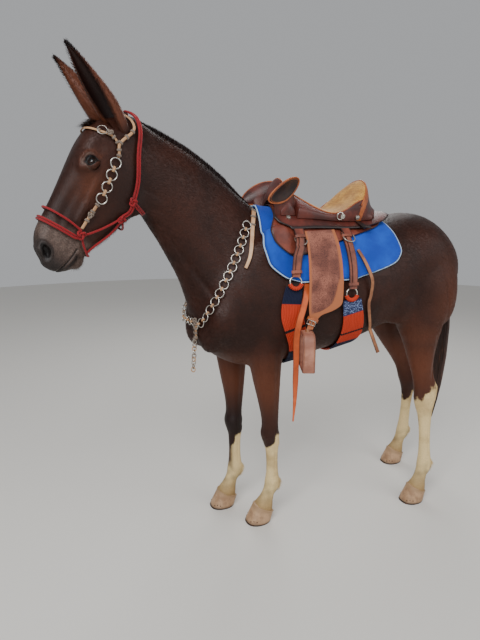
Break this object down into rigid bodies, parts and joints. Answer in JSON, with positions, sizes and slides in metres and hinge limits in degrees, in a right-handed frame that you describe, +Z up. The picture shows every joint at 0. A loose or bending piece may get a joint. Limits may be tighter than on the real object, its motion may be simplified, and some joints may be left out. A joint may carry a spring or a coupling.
{
  "type": "saddle mule",
  "caption": "Standing life-size saddle mule with a western riding saddle, blue pad, rope halter, rawhide bridle, two girths and a breast chain. A still model.",
  "frame": {"origin": "on the ground, under the middle of the whole footprint box", "axes": "+Z up, -Y the way the mule faces, +X its left side"},
  "size_m": [0.727, 1.9916, 1.959],
  "materials": {
    "short_coat": "short glossy liver-brown hair with pale stockings",
    "long_hair": "coarse brown-black mane and tail hair",
    "hoof_horn": "pale satin horn",
    "eye": "wet, dark brown",
    "mahogany_leather": "oiled, smooth",
    "rough_out_leather": "napped flesh side",
    "seat_suede": "suede with punched dots",
    "latigo_leather": "oiled orange-tan",
    "felt_pad": "quilted blue cloth over felt",
    "cinch_wool": "woven mohair cords",
    "nickel": "worn bright nickel",
    "rawhide": "pale braided rawhide",
    "halter_rope": "braided red rope"
  },
  "bodies": {
    "root": {"breast_centre": "rawhide", "breast_chain_left": "nickel", "breast_chain_right": "nickel", "breast_pendant": "rawhide", "breast_tie_left": "rawhide", "breast_tie_right": "rawhide", "bridle_browband": "rawhide", "bridle_chain_left": "nickel", "bridle_chain_right": "nickel", "bridle_crown": "rawhide", "bridle_strap_left": "rawhide", "bridle_strap_right": "rawhide", "ear_left": "short_coat", "ear_right": "short_coat", "eye_left": "eye", "eye_right": "eye", "fender_left": "rough_out_leather", "fender_right": "rough_out_leather", "fore_leg_left": "short_coat", "fore_leg_right": "short_coat", "front_billet_left": "rough_out_leather", "front_billet_right": "rough_out_leather", "front_cinch": "cinch_wool", "front_cinch_ring_left": "nickel", "front_cinch_ring_right": "nickel", "halter_cheek_left": "halter_rope", "halter_cheek_right": "halter_rope", "halter_chin": "halter_rope", "halter_crown": "halter_rope", "halter_nose_lower": "halter_rope", "halter_nose_upper": "halter_rope", "halter_throat": "halter_rope", "head": "short_coat", "hind_leg_left": "short_coat", "hind_leg_right": "short_coat", "hoof_fore_left": "hoof_horn", "hoof_fore_right": "hoof_horn", "hoof_hind_left": "hoof_horn", "hoof_hind_right": "hoof_horn", "knee_wing_left": "mahogany_leather", "knee_wing_right": "mahogany_leather", "latigo_end": "latigo_leather", "mane": "long_hair", "neck": "short_coat", "pommel": "mahogany_leather", "rear_billet_left": "rough_out_leather", "rear_billet_right": "rough_out_leather", "rear_cinch": "cinch_wool", "rear_cinch_ring_left": "nickel", "rear_cinch_ring_right": "nickel", "saddle_flaps": "mahogany_leather", "saddle_pad": "felt_pad", "saddle_seat": "seat_suede", "saddle_skirt": "mahogany_leather", "saddle_string": "rough_out_leather", "stirrup_left": "rough_out_leather", "stirrup_right": "rough_out_leather", "tail": "long_hair", "trunk": "short_coat"}
  },
  "joints": []
}
